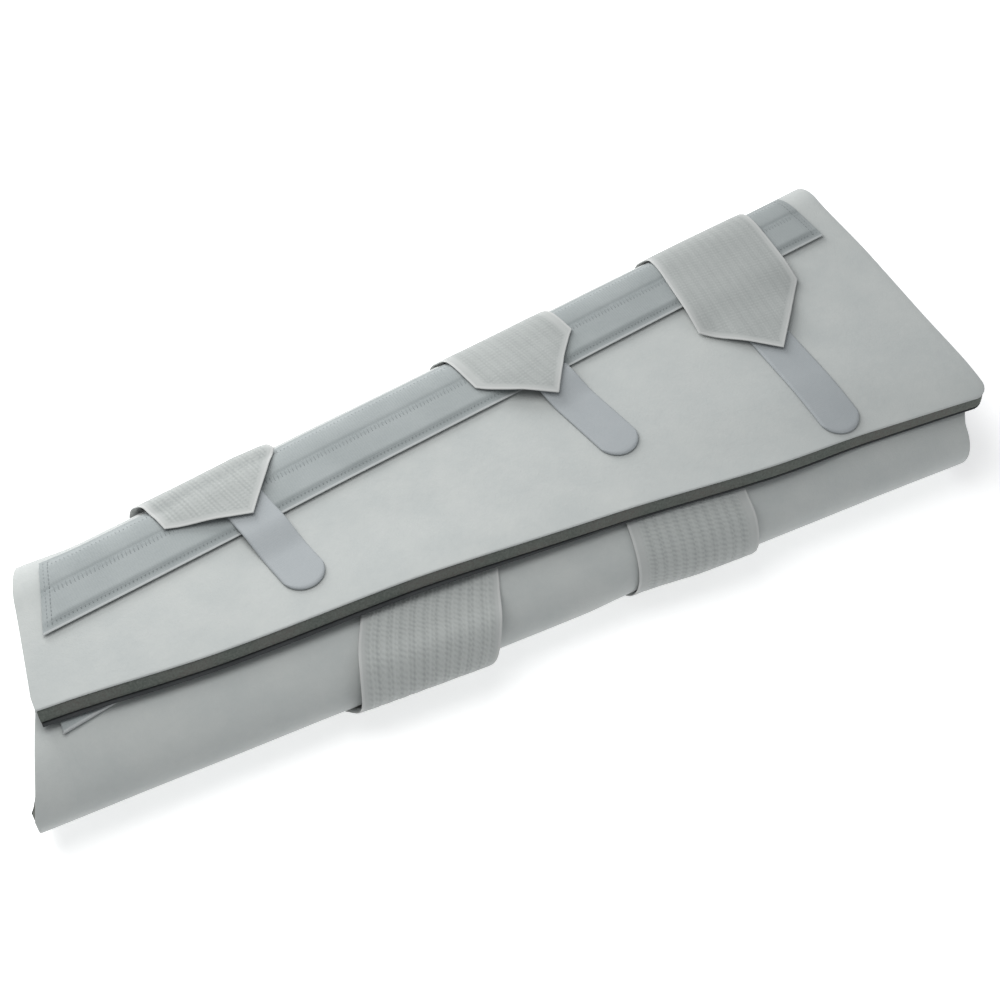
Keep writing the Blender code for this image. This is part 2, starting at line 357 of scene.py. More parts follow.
class Finish:
    def __init__(self, name, roughness, **sockets):
        self.material = bpy.data.materials.new(name)
        self.material.use_nodes = True
        self.tree = self.material.node_tree
        self.shader = self.tree.nodes["Principled BSDF"]
        self.shader.inputs["Roughness"].default_value = roughness
        for socket, value in sockets.items():
            self.shader.inputs[socket.replace("_", " ")].default_value = value

    def node(self, kind, settings, values, output=0):
        made = self.tree.nodes.new(kind)
        for key, value in settings.items():
            setattr(made, key, value)
        for key, value in values.items():
            if isinstance(value, Field):
                self.tree.links.new(value.socket, made.inputs[key])
            else:
                made.inputs[key].default_value = value
        return Field(self, made.outputs[output])

    def cut(self):
        """Distance along and across the flat cut, in metres."""
        flat = self.node("ShaderNodeUVMap", {"uv_map": "cut"}, {})
        return (self.node("ShaderNodeSeparateXYZ", {}, {0: flat}, "X"),
                self.node("ShaderNodeSeparateXYZ", {}, {0: flat}, "Y"))

    def measure(self, name):
        return self.node("ShaderNodeAttribute", {"attribute_name": name}, {}, "Fac")

    def speckle(self, size, detail=2.0):
        """Noise whose grains are about this big."""
        at = self.node("ShaderNodeTexCoord", {}, {}, "Object")
        return self.node("ShaderNodeTexNoise", {}, {"Vector": at, "Scale": 0.6 / size,
                                                    "Detail": detail, "Roughness": 0.6})

    def blend(self, share, low, high):
        """A colour from low to high as share goes from 0 to 1."""
        colors = {6: low if isinstance(low, Field) else (*low, 1.0),
                  7: high if isinstance(high, Field) else (*high, 1.0)}
        settings = {"data_type": "RGBA"}
        return self.node("ShaderNodeMix", settings, {0: share, **colors}, 2)

    def wear(self, color, height, depth):
        """Gives the shader its colour and its relief, depth being in metres."""
        self.tree.links.new(color.socket, self.shader.inputs["Base Color"])
        bump = self.node("ShaderNodeBump", {}, {"Height": height, "Strength": 1.0,
                                                "Distance": depth})
        self.tree.links.new(bump.socket, self.shader.inputs["Normal"])
        return self.material


print("a finish offers:", [name for name in vars(Finish) if name[0] != "_"])

# %% [markdown]
# The background is plain white with only a faint shadow under the wrap. It is a
# sheet of matt white paper that glows a little by itself, which keeps the ground
# near white and the shadow soft.

# %% Floor
floor_size, floor_glow = 6.0, 0.48
bm = bmesh.new()
bmesh.ops.create_grid(bm, x_segments=8, y_segments=8, size=floor_size / 2)
floor_mesh = bpy.data.meshes.new("floor")
bm.to_mesh(floor_mesh)
bm.free()
floor = new_object("floor", floor_mesh)
floor_finish = Finish("floor_paper", 0.9)
grain = floor_finish.speckle(0.004)
floor_finish.shader.inputs["Emission Color"].default_value = (1.0, 1.0, 1.0, 1.0)
floor_finish.shader.inputs["Emission Strength"].default_value = floor_glow
floor_mesh.materials.append(floor_finish.wear(
    floor_finish.blend(grain, (0.90, 0.90, 0.90), (0.93, 0.93, 0.93)), grain, 0.00002))
print("floor:", floor_size, "m wide")

# %% [markdown]
# Every soft piece starts as a flat cut: a grid with a row of corners wherever
# the piece needs one. The lines are spread evenly and a few more follow the
# rims, where the cloth's edge is rounded and its thickness runs out.

# %% Grid lines
Line = namedtuple("Line", "share inset full")


def lines(count, rim):
    """Grid lines across a cut: share of the width, inset from the near rim, and
    how much of its thickness the cloth has there."""
    angles = np.linspace(0, math.pi / 2, 5)
    near = [Line(0.0, rim * (1 - math.cos(a)), math.sin(a)) for a in angles[:-1]]
    middle = [Line(i / count, rim * (1 - 2 * i / count), 1.0) for i in range(count + 1)]
    return near + middle + [Line(1.0, -line.inset, line.full) for line in reversed(near)]


print("a rim takes", (len(lines(1, 0.001)) - 2) // 2, "lines")

# %% [markdown]
# The grid is raised into a second layer, its flat measures are kept as a UV map
# in metres for the weave, and each corner is then moved to its place on the
# wrap. The cloth is put where it lies instead of being simulated, because all of
# it is held: laminated, sewn down or pulled tight.

# %% Flat cuts
weld = 2e-6


def finish_piece(name, bm, material):
    bmesh.ops.recalc_face_normals(bm, faces=bm.faces[:])
    for face in bm.faces:
        face.smooth = True
    mesh = bpy.data.meshes.new(name)
    bm.to_mesh(mesh)
    bm.free()
    mesh.materials.append(material)
    piece = new_object(name, mesh)
    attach(piece, "root")
    mesh.calc_loop_triangles()
    print(name, len(mesh.loop_triangles), "triangles")
    return piece


def flat_cut(name, rows, columns, place, material):
    """A closed piece of cloth. place(row lines, column lines, side, full) gives
    the points, the flat measures (along, across) and any named measures; side is
    1 on the outer layer and -1 on the inner one."""
    bm = bmesh.new()
    bmesh.ops.create_grid(bm, x_segments=len(rows) - 1, y_segments=len(columns) - 1, size=0.5)
    raised = bmesh.ops.extrude_face_region(bm, geom=bm.faces[:])["geom"]
    for v in raised:
        if isinstance(v, bmesh.types.BMVert):
            v.co.z = 1.0
    at = np.array([v.co for v in bm.verts])
    row = np.rint((at[:, 0] + 0.5) * (len(rows) - 1)).astype(int)
    column = np.rint((at[:, 1] + 0.5) * (len(columns) - 1)).astype(int)
    row_lines = Line(*(np.array(part)[row] for part in zip(*rows)))
    column_lines = Line(*(np.array(part)[column] for part in zip(*columns)))
    side = np.where(at[:, 2] > 0.5, 1.0, -1.0)
    full = np.minimum(row_lines.full, column_lines.full)
    points, along, across, measures = place(row_lines, column_lines, side, full)
    uv = bm.loops.layers.uv.new("cut")
    layers = {key: bm.verts.layers.float.new(key) for key in measures}
    bm.verts.ensure_lookup_table()
    for i, v in enumerate(bm.verts):
        v.co = points[i]
        for key, layer in layers.items():
            v[layer] = measures[key][i]
    bm.verts.index_update()
    for face in bm.faces:
        for corner in face.loops:
            k = corner.vert.index
            corner[uv].uv = (along[k], across[k])
    bmesh.ops.remove_doubles(bm, verts=bm.verts[:], dist=weld)
    return finish_piece(name, bm, material)


print("corners nearer than", weld, "m are joined")

# %% [markdown]
# The face of the wrap is a brushed loop cloth: a short, dense nap with a soft
# mottle and no weave to be seen. Two sizes of noise give the nap, a slow one the
# mottle, and a little sheen lights the fuzz where the cloth turns away.

# %% Finish of the wrap's face and lining


def brushed_cloth(name, light, dark, sheen):
    finish = Finish(name, 0.95, Sheen_Weight=sheen, Sheen_Roughness=0.45,
                    Specular_IOR_Level=0.15)
    nap = finish.speckle(0.0006, 3.0)
    tuft = finish.speckle(0.0022)
    mottle = finish.speckle(0.018, 3.0)
    share = (nap * 0.25 + tuft * 0.25 + mottle * 0.9 - 0.20).ramp(0.15, 0.85)
    color = finish.blend(share, dark, light)
    return finish.wear(color, nap * 0.6 + tuft * 0.6, 0.00018)


face_cloth = brushed_cloth("brushed_face_cloth", (0.448, 0.466, 0.456), (0.395, 0.418, 0.414),
                           0.35)
# the lining's near-black colour is painted shade for the gap under the flap's edge
lining_cloth_painted_shade = brushed_cloth("brushed_lining_painted_shade", (0.058, 0.062, 0.064), (0.040, 0.043, 0.045),
                             0.04)
print("cloths of the wrap:", face_cloth.name, lining_cloth_painted_shade.name)

# %% [markdown]
# The cut edge shows the foam between the two cloths: dark grey closed cells with
# greenish and brownish patches, torn a little by the knife.

# %% Finish of the foam
foam_finish = Finish("cut_foam", 0.9, Specular_IOR_Level=0.2)
cells = foam_finish.speckle(0.0007, 3.0)
patches = foam_finish.speckle(0.018).ramp(0.38, 0.62)
foam_tone = foam_finish.blend(patches, (0.092, 0.106, 0.094), (0.119, 0.115, 0.105))
foam_color = foam_finish.blend(cells.ramp(0.3, 0.7), foam_tone, (0.131, 0.143, 0.130))
cut_foam = foam_finish.wear(foam_color, cells, 0.0005)
print("foam of the wrap:", cut_foam.name)

# %% [markdown]
# Both ends of the wrap are cut on a slant, and the flap's corner at the thigh
# end is rounded. The ends are drawn in a little where they turn round the back
# fold. A cut is given as a station for each share of each stretch of the path.

# %% The slanting ends
ankle_cut, ankle_slope = 0.000, 0.206
thigh_cut, thigh_slope = 0.5015, 0.050
ankle_front_cut, ankle_under_cut = -0.0255, -0.0120
thigh_front_cut = 0.4840
ankle_inner_step, thigh_inner_step = 0.010, 0.009
corner_round = 0.009
ankle_drawn_in, thigh_drawn_in, thigh_reach = 0.0036, 0.0020, 0.0018


def start_x(k, share):
    """x of the ankle cut for a share of stretch k of the section."""
    flap_front = ankle_cut + ankle_slope * ankle.free_edge
    flap_back = ankle_cut + ankle_slope * (ankle.width / 2 - ankle.back_round)
    tip = ankle_cut + ankle_slope * ankle.width / 2
    if k == 0:
        return mix(flap_front, flap_back, share)
    if k == 1:
        drawn_in = ankle_drawn_in * float(smooth(share / 0.35) * smooth((1 - share) / 0.5))
        return mix(flap_back, tip, math.sin(math.pi * share)) + drawn_in
    if k == 2:
        return mix(flap_back, ankle_under_cut, share)
    if k == 3 and share < 0.5:
        return mix(ankle_under_cut, ankle_front_cut, math.sin(math.pi * share))
    if k == 3:
        return mix(ankle_front_cut, flap_front, max(0.0, share - 0.55) / 0.45)
    return flap_front + ankle_inner_step * share


def stop_x(k, share):
    """x of the thigh cut for a share of stretch k of the section."""
    flap_back = thigh.width / 2 - thigh.back_round
    back = thigh_cut + thigh_slope * thigh.width / 2
    if k == 0:
        y = mix(thigh.free_edge, flap_back, share)
        near = max(0.0, corner_round - (y - thigh.free_edge))
        rounded = corner_round - math.sqrt(corner_round ** 2 - near ** 2)
        bowed = thigh_reach * smooth(1 - share / 0.45) - thigh_drawn_in * smooth((share - 0.7) / 0.3)
        return thigh_cut + thigh_slope * y - rounded + float(bowed)
    if k == 1:
        return mix(thigh_cut + thigh_slope * flap_back - thigh_drawn_in, back,
                   math.sin(math.pi * min(share, 0.5)))
    if k == 2:
        return mix(back, thigh_front_cut, share)
    if k == 3:
        return thigh_front_cut + thigh_inner_step * float(smooth((share - 0.72) / 0.28))
    return thigh_front_cut + thigh_inner_step


print("the flap is", round(stop_x(0, 0.5) - start_x(0, 0.5), 3), "m long along its middle")

# %% [markdown]
# The columns of the wrap's grid run along it. They are spread over the five
# stretches of the path, with a few more just inside the free edge, where the
# cut shows, and the rounded rims at both edges.

# %% Columns round the section
wrap_counts = (44, 34, 30, 40, 26)
first_column = 0.008


def wrap_columns(rim):
    """Columns round the section: stretch, share of it, inset, thickness share."""
    near = lines(1, rim)[:4]
    rounding = [Line(0.0, d, 1.0) for d in (0.0007, 0.0016, 0.0028, 0.0042, 0.006)]
    columns = [(0, line.share, line.inset, line.full) for line in near]
    columns += [(0, 0.0, line.inset, 1.0) for line in rounding]
    for k, count in enumerate(wrap_counts):
        for i in range(count):
            inset = {0: first_column * (1 - i / count), 4: -rim * i / count}.get(k, 0.0)
            columns.append((k, i / count, inset, 1.0))
    columns.append((4, 1.0, -rim, 1.0))
    return columns + [(4, 1.0, -line.inset, line.full) for line in reversed(near)]


print("columns round the wrap:", len(wrap_columns(0.0005)))

# %% [markdown]
# The wrap is a laminate: face cloth, foam, lining cloth. Each layer is its own
# piece, cut to the same outline and rolled round the same skin at its own depth,
# so that the free edge and both ends show the sandwich. The free edge leans
# out as it goes down and is tucked in at its lower rim, most at the ankle end.
# The lining is coloured near black, as painted shade for the gap under the
# flap's edge, and stands a little proud of the foam, which gives the thin black
# line under the foam's cut edge.

# %% The wrap's three layers
face_thick, lining_thick, layer_clear = 0.0009, 0.0008, 0.00005
ankle_slant, thigh_slant = 0.0036, 0.0022
ankle_tuck, thigh_tuck = 0.0045, 0.0008
tuck_from, tuck_run, tuck_depth = 0.18, 0.12, 0.82
lean_width, wander_width = 0.030, 0.060
wrap_rows, flap_span = 118, 0.16
Layer = namedtuple("Layer", "name high low inset rim material tucked")
layers = (
    Layer("wrap_face_cloth", 0.0, -face_thick, 0.0, 0.0005, face_cloth, 1.0),
    Layer("wrap_foam", -face_thick - layer_clear, lining_thick - foam + layer_clear,
          0.00035, 0.0004, cut_foam, 1.0),
    Layer("wrap_lining_cloth", lining_thick - foam, -foam, 0.0004, 0.0002, lining_cloth_painted_shade, -0.35),
)


def wrap_layer(layer):
    """One layer of the laminate, between two depths under the skin. Its free edge
    takes its tucked share of the tuck, and less than none stands proud."""
    high, low, inset, rim = layer.high, layer.low, layer.inset, layer.rim
    columns = wrap_columns(rim)
    stretch = np.array([c[0] for c in columns])
    starts, stops = [], []
    for k, share, off, full in columns:
        corner = min(1.0, share + off / flap_span) if k == 0 else share
        starts.append(start_x(k, corner))
        stops.append(stop_x(k, corner))
    starts, stops = np.array(starts), np.array(stops)
    rows = lines(wrap_rows, rim)
    cut = [Line(i, c[2], c[3]) for i, c in enumerate(columns)]

    def place(row, column, side, full):
        i = column.share.astype(int)
        share = np.array([c[1] for c in columns])[i]
        k = stretch[i]
        x = mix(starts[i] + inset, stops[i] - inset, row.share) + row.inset
        before = np.choose(k, [0 * x] + [end_at(x, n) for n in range(4)])
        after = np.choose(k, [end_at(x, n) for n in range(5)])
        s = mix(before, after, share) + column.inset
        free = inset * (k == 0) * (1 - share) - inset * (k == 4) * share
        middle, half = (high + low) / 2, (high - low) / 2
        height = middle + side * half * full
        depth = np.clip(-height / foam, 0, 1)
        lean = mix(ankle_slant, thigh_slant, x / wrap_length) * np.minimum(depth / tuck_depth, 1)
        tuck = layer.tucked * mix(ankle_tuck, thigh_tuck, smooth((x - tuck_from) / tuck_run))
        lean = lean - tuck * np.clip((depth - tuck_depth) / (1 - tuck_depth), 0, 1)
        wander = edge_turn(x, "out") * smooth(1 - s / wander_width)
        out = (lean * smooth(1 - s / lean_width) + wander) * (k == 0)
        return on_skin(x, s + free - out, height), x, s, {}

    return flat_cut(layer.name, rows, cut, place, layer.material)


wrap_face, wrap_foam, wrap_lining = [wrap_layer(layer) for layer in layers]
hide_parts("wrap")
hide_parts("wrap")
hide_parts("wrap")

# %% [markdown]
# Laid flat, the wrap's cloth is a tapering piece, as long as the wrap with its
# slants and as wide as the longest way round the skin.

# %% [markdown]
# The stay pockets are strips of ribbed cloth sewn to the wrap, with a flat stay
# inside. The ribs run across the strip. Painted shade darkens the cloth in the
# groove of the middle seam and along the hem seam near the lower edge, and a
# painted highlight lightens its folded lower edge. Distances are measured across
# the strip from its lower edge.

# %% Finish of the pocket cloth
pocket_width = 0.040
seam_line, edge_seam = 0.0205, 0.0042
seam_shade_off = 0.0012
rib_pitch, pick_pitch = 0.00135, 0.0009


def ribbed_cloth(name, light, dark):
    finish = Finish(name, 0.92, Sheen_Weight=0.15, Specular_IOR_Level=0.2)
    along, across = finish.cut()
    fuzz = finish.speckle(0.0009)
    slow = finish.speckle(0.02)
    ribs = (along + fuzz * 0.0005).wave(rib_pitch)
    picks = across.wave(pick_pitch)
    # painted shade: darker in the grooves of the middle seam and of the hem seam
    seam_groove_shade = 1 - (across - seam_line - seam_shade_off).math("ABSOLUTE").ramp(0.0010, 0.0032)
    hem_groove_shade = 1 - (across - edge_seam).math("ABSOLUTE").ramp(0.0006, 0.0032)
    # painted highlight: the folded lower edge is blended towards a light colour
    fold_highlight = 1 - across.ramp(0.0008, 0.0016)
    share = ribs * 0.05 + fuzz * 0.18 + slow * 0.40 + 0.30 - seam_groove_shade * 0.17 - hem_groove_shade * 0.16
    color = finish.blend(share.ramp(0.0, 1.0), dark, light)
    color = finish.blend(fold_highlight * 0.7, color, (0.45, 0.465, 0.465))
    return finish.wear(color, ribs * 0.25 + picks * 0.25 + fuzz * 0.5, 0.00012)


pocket_cloth = ribbed_cloth("ribbed_pocket_cloth", (0.340, 0.366, 0.368), (0.194, 0.218, 0.222))
print("pocket cloth:", pocket_cloth.name)

# %% [markdown]
# The outer pocket runs along the back of the flap, and the inner one under the
# free edge, where one corner of it shows. Each follows a straight line on the
# wrap. The outer pocket is full over its stay, flat at its hems and drawn in
# along the seams, and its edges stand off the cloth, so that a dark line runs
# under them.

# %% The two stay pockets
gap = 0.0003
outer_thick, pocket_edge_thick = 0.0030, 0.0018
outer_left, outer_right = 0.0125, 0.4875
outer_start, outer_climb = 0.0085, 0.0777
left_slant, right_slant = 0.0130, 0.0020
inner_thick = 0.0022
inner_left, inner_right = 0.0020, 0.4640
inner_start, inner_climb, inner_slant = -0.0360, 0.115, 0.0060
pocket_rim = 0.0008
hem_width, swell_width = 0.0015, 0.0055
seam_dip, seam_dip_off, seam_dip_width = 0.00030, 0.0020, 0.0012
hem_dip, hem_dip_width = 0.00015, 0.0010
hem_lift, hem_lift_width = 0.0012, 0.0028


def outer_low(x):
    """Walked length of the lower edge of the outer stay pocket."""
    return walk_to(x, "flap", outer_start + outer_climb * x)


def outer_ends(share):
    """Stations of the outer pocket's two ends, a share of the way up it."""
    return outer_left + left_slant * share, outer_right - right_slant * share


def outer_edge(x, v):
    """Distance to the nearest edge of the outer pocket."""
    left, right = outer_ends(v / pocket_width)
    return np.minimum(np.minimum(v, pocket_width - v), np.minimum(x - left, right - x))


def outer_top(x, v):
    """Height of the outer pocket's face: full over the stay, down at its hems,
    drawn in along the middle seam."""
    swell = smooth((outer_edge(x, v) - hem_width) / swell_width)
    seam = seam_dip * np.exp(-((v - seam_line - seam_dip_off) / seam_dip_width) ** 2)
    hem = hem_dip * np.exp(-((v - edge_seam) / hem_dip_width) ** 2)
    return mix(pocket_edge_thick, outer_thick, swell) - seam - hem


def place_outer_pocket(row, column, side, full):
    v = column.share * pocket_width + column.inset
    left, right = outer_ends(column.share)
    x = mix(left, right, row.share) + row.inset
    top = outer_top(x, v)
    under = hem_lift * (1 - smooth(outer_edge(x, v) / hem_lift_width))
    height = gap + (top + under) / 2 + side * (top - under) / 2 * full
    return on_skin(x, outer_low(x) + v, height), x, v, {}


def place_inner_pocket(row, column, side, full):
    v = column.share * pocket_width + column.inset
    left = inner_left + inner_slant * column.share
    x = mix(left, inner_right, row.share) + row.inset
    s = walk_to(x, "inner", inner_start + inner_climb * x) + v
    height = gap + inner_thick / 2 * (1 + side * full)
    return on_skin(x, s, height), x, v, {}


outer_pocket = flat_cut("outer_stay_pocket_cloth", lines(190, pocket_rim), lines(44, pocket_rim),
                        place_outer_pocket, pocket_cloth)
inner_pocket = flat_cut("inner_stay_pocket_cloth", lines(120, pocket_rim), lines(20, pocket_rim),
                        place_inner_pocket, pocket_cloth)
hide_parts("outer_stay_pocket")
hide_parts("inner_stay_pocket")

# %% [markdown]
# The seams are sewn with a matt thread, a little darker than the cloth.

# %% Finish of the thread
thread_finish = Finish("seam_thread", 0.8, Sheen_Weight=0.2, Specular_IOR_Level=0.25)
thread_fuzz = thread_finish.speckle(0.0006)
seam_thread = thread_finish.wear(
    thread_finish.blend(thread_fuzz, (0.185, 0.205, 0.209), (0.250, 0.272, 0.276)),
    thread_fuzz, 0.00008)
print("thread:", seam_thread.name)

# %% [markdown]
# The pocket's seams show as short stitches: long ones across the middle seam,
# short ones along both hems, and two closed lines at each end. A stitch is a
# small ball drawn out along its thread and half sunk in the cloth. All of them
# are made from one ball by doubling, which is quicker than one at a time.

# %% Stitches
stitch_pitch, stitch_slant, line_stitch = 0.0021, 0.0003, 0.0018
thread_width, thread_depth = 0.0006, 0.0005
end_margin, side_margin = 0.007, 0.0030
Seam = namedtuple("Seam", "v length")
seams = (Seam(seam_line, 0.0042), Seam(edge_seam, 0.0014), Seam(pocket_width - 0.0052, 0.0020))
end_lines = (0.0024, 0.0048)


def stitch_ends():
    """The two ends of every stitch of the outer pocket, as stations and values
    across the strip: cross stitches first, and then the lines at its ends."""
    ends = []
    for seam in seams:
        left, right = outer_ends(seam.v / pocket_width)
        for x in np.arange(left + end_margin, right - end_margin, stitch_pitch):
            ends.append((x, seam.v - seam.length / 2, x + stitch_slant, seam.v + seam.length / 2))
    for inset in end_lines:
        for v in np.arange(side_margin, pocket_width - side_margin, stitch_pitch):
            a = outer_ends(v / pocket_width)
            b = outer_ends((v + line_stitch) / pocket_width)
            ends.append((a[0] + inset, v, b[0] + inset, v + line_stitch))
            ends.append((a[1] - inset, v, b[1] - inset, v + line_stitch))
    return np.array(ends).T


def on_outer_pocket(x, v, raised):
    return on_skin(x, outer_low(x) + v, gap + outer_top(x, v) + raised)


def sew(name, ends):
    x0, v0, x1, v1 = ends
    first, last = on_outer_pocket(x0, v0, 0.0), on_outer_pocket(x1, v1, 0.0)
    out = unit(on_outer_pocket(x0, v0, 0.001) - first)
    wide = unit(np.cross(last - first, out))
    axes = np.stack([wide * thread_width, out * thread_depth, last - first], axis=1)
    bm, made = bmesh.new(), 1
    bmesh.ops.create_uvsphere(bm, u_segments=6, v_segments=4, radius=0.5)
    while made < len(first):
        copy = bmesh.ops.duplicate(bm, geom=bm.verts[:] + bm.edges[:] + bm.faces[:])["geom"]
        balls = [v for v in copy if isinstance(v, bmesh.types.BMVert)]
        bmesh.ops.translate(bm, verts=balls, vec=(0.0, 0.0, 2.0 * made))
        made *= 2
    spare = [v for v in bm.verts if v.co.z > 2 * len(first) - 1]
    bmesh.ops.delete(bm, geom=spare, context="VERTS")
    at = np.array([v.co for v in bm.verts])
    ball = np.rint(at[:, 2] / 2).astype(int)
    at[:, 2] -= 2 * ball
    points = (at[:, :, None] * axes[ball]).sum(axis=1) + ((first + last) / 2)[ball]
    for v, point in zip(bm.verts, points):
        v.co = point
    return finish_piece(name, bm, seam_thread)


outer_stitches = sew("outer_stay_pocket_stitches", stitch_ends())
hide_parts("outer_stay_pocket")

# %% [markdown]
# The straps are knitted elastic: ribs about 2 mm apart run lengthwise, crossed
# by shorter stitches that make diamonds, with a smooth selvage down each side
# and a pale oversewn edge on the point. The ribs are real relief in the mesh,
# which is fine across and coarse along. The crossing stitches are bump. The
# ribs' depth and the selvage's width differ, so each strap has its own material.

# %% Finish of the elastic
elastic_rib, wale_pitch, diamond_pitch = 0.0021, 0.0054, 0.0023
pit_across, pit_along = 0.0017, 0.0019


def knitted_elastic(name, ribbed, selvage):
    """Elastic with lengthwise ribs this strong and a smooth selvage this wide."""
    light, dark, border = (0.402, 0.420, 0.411), (0.258, 0.274, 0.270), (0.465, 0.474, 0.467)
    finish = Finish(name, 0.88, Sheen_Weight=0.25, Sheen_Roughness=0.5, Specular_IOR_Level=0.2)
    along, across = finish.cut()
    from_side = finish.measure("from_side")
    from_tip = finish.measure("from_tip")
    fuzz = finish.speckle(0.0007)
    slow = finish.speckle(0.012)
    knit = from_side.ramp(selvage - 0.0015, selvage + 0.0010) * from_tip.ramp(0.0018, 0.0040)
    ribs = across.wave(elastic_rib)
    half = (across / (2 * elastic_rib)).math("ROUND") * math.pi
    turn = along * (2 * math.pi / diamond_pitch) + half + across * 900.0
    slack = along.ramp(0.07, 0.16) * 0.7 + 0.3
    diamonds = (turn.math("COSINE") * 0.5 + 0.5) * slack
    wales = across.wave(wale_pitch) * slack
    pits = across.wave(pit_across) * along.wave(pit_along)
    relief = ribs * (0.6 * ribbed) + pits * 0.5 + diamonds * 0.7 + wales * 0.8
    relief = knit * relief + (1 - knit) * 0.7
    grain = ribs * (0.14 * ribbed) + pits * 0.14 + diamonds * 0.24 + wales * 0.24 - 0.25
    # painted shade: the crease measure darkens the ankle strap along its crease
    share = 0.35 + knit * grain + fuzz * 0.22 + slow * 0.30 - finish.measure("crease") * 0.30
    body = finish.blend(share.ramp(0.0, 1.0), dark, light)
    rim = 1 - from_side.math("MINIMUM", from_tip).ramp(0.0008, 0.0018)
    color = finish.blend((1 - knit) * 0.35 + rim * 0.55, body, border)
    return finish.wear(color, relief + fuzz * 0.4, 0.00012)


print("elastic: ribs", elastic_rib, "m apart")

# %% [markdown]
# Each strap is walked from its point on the flap, over the back fold, along the
# underside and round the front fold. A row of its route is the middle line:
# station, place and value. The point lies tip_off to the thigh side of the
# middle, and its slanting edges are left_cut and right_cut long along the strap.
# Where it is slack it stands off the back fold by back_slack, and off the front
# fold by front_left and front_right at its two edges. The ankle strap has a
# crease behind the pocket and is pulled wider at its point, by its flare.

# %% Strap routes
elastic_gap, elastic_thick = 0.0003, 0.0016
Strap = namedtuple("Strap", "name tip_x tip_y lean tip_off left_cut right_cut route "
                   "back_slack back_soft crease front_left front_right flare "
                   "ribbed selvage")
straps = (
    Strap("ankle", 0.1270, 0.0228, 0.226, 0.0015, 0.0225, 0.0270,
          ((0.1118, "back", 0.55), (0.114, "under", 0.025), (0.149, "under", -0.030),
           (0.1608, "front", 0.30), (0.1668, "front", 0.55), (0.1774, "front", 0.75),
           (0.1888, "front", 0.95), (0.192, "inner", -0.030)),
          0.0022, 0.013, 0.0009, 0.0038, 0.0076, 0.08, 1.0, 0.0034),
    Strap("knee", 0.2975, 0.0168, 0.220, -0.0028, 0.0298, 0.0304,
          ((0.2890, "back", 0.40), (0.292, "under", 0.040), (0.3150, "under", -0.046),
           (0.3150, "front", 0.30), (0.3185, "front", 0.60), (0.3225, "front", 0.85),
           (0.326, "inner", -0.052)),
          0.0, 0.020, 0.0, 0.0, 0.0038, 0.0, 0.3, 0.0055),
    Strap("thigh", 0.4180, -0.0134, -0.110, 0.0020, 0.0277, 0.0416,
          ((0.4250, "back", 0.10), (0.4270, "back", 0.60), (0.427, "under", 0.040),
           (0.427, "under", 0.000), (0.427, "under", -0.045)),
          0.0, 0.020, 0.0, 0.0, 0.0, 0.03, 0.15, 0.0035),
)


def route_of(strap):
    """The middle line in flat terms: an array of (x, s), evenly spaced."""
    away = np.array([-strap.lean, 1.0]) / math.hypot(1.0, strap.lean)
    side = np.array([away[1], -away[0]])
    start = np.array([strap.tip_x, strap.tip_y]) - side * strap.tip_off
    rows = [start + away * step for step in (0.0, 0.012, 0.024)]
    rows = [(x, walk_to(x, "flap", y)) for x, y in rows]
    line = np.array(rows + [(x, walk_to(x, where, v)) for x, where, v in strap.route])
    fine = [line[0]]
    for i in range(len(line) - 1):
        p0, p1, p2 = line[max(i - 1, 0)], line[i], line[i + 1]
        p3 = line[min(i + 2, len(line) - 1)]
        for t in np.linspace(0, 1, 13)[1:]:
            bend = 2 * p0 - 5 * p1 + 4 * p2 - p3
            fine.append((2 * p1 + (p2 - p0) * t + bend * t * t
                         + (3 * p1 - p0 - 3 * p2 + p3) * t ** 3) / 2)
    return np.array(fine)


print("straps:", [strap.name for strap in straps])

# %% [markdown]
# A strap keeps its real width on a skin that curves and tapers, so the step
# across it has to be square to its route there. The skin is measured for a
# small step each way, and the step across is worked out from those two. Plain
# offsets in x would make the strap narrow on the folds.

# %% Steps along and across a strap


def skin_step(x, s, dx, ds):
    """How the skin moves for a small step of x or of s, per metre."""
    ahead = on_skin(x + dx, s + ds, 0.0)
    behind = on_skin(x - dx, s - ds, 0.0)
    return (ahead - behind) / (2 * (dx + ds))


def strap_frames(line):
    """Real lengths along a route, its places every millimetre, and there the
    step across the strap that is square to it on the skin and a metre long."""
    points = on_skin(line[:, 0], line[:, 1], 0.0)
    walked = walked_along(points)
    far = np.arange(0.0, walked[-1], 0.001)
    near = [np.interp(far, walked, line[:, k]) for k in (0, 1)]
    d = [np.interp(far + 0.014, walked, line[:, k]) - np.interp(far - 0.014, walked, line[:, k])
         for k in (0, 1)]
    by_x = skin_step(near[0], near[1], 0.002, 0.0)
    by_s = unit(skin_step(near[0], near[1], 0.0, 0.002))
    e, f = (by_x * by_x).sum(axis=1), (by_x * by_s).sum(axis=1)
    across = np.array([f * d[0] + d[1], -(e * d[0] + f * d[1])])
    size = np.sqrt(e * across[0] ** 2 + 2 * f * across[0] * across[1] + across[1] ** 2)
    return float(walked[-1]), far, near, across / size


for strap in straps:
    print("strap", strap.name, round(strap_frames(route_of(strap))[0], 3), "m long")

# %% [markdown]
# A strap or a tab climbs over the stay pocket and comes down to the flap again
# over a short reach. A strap also climbs over its own tab and stands off the
# folds where it is slack, so its height is a sum of soft steps.

# %% Height of a strap
strap_reach, tab_reach = 0.028, 0.020
crease_before, crease_width = 0.038, 0.0030
tab_width, tab_thick = 0.0228, 0.0015


def bump_between(s, low, high, soft):
    """One between low and high and nothing outside, with soft flanks."""
    return smooth((s - low + soft) / soft) * smooth((high + soft - s) / soft)


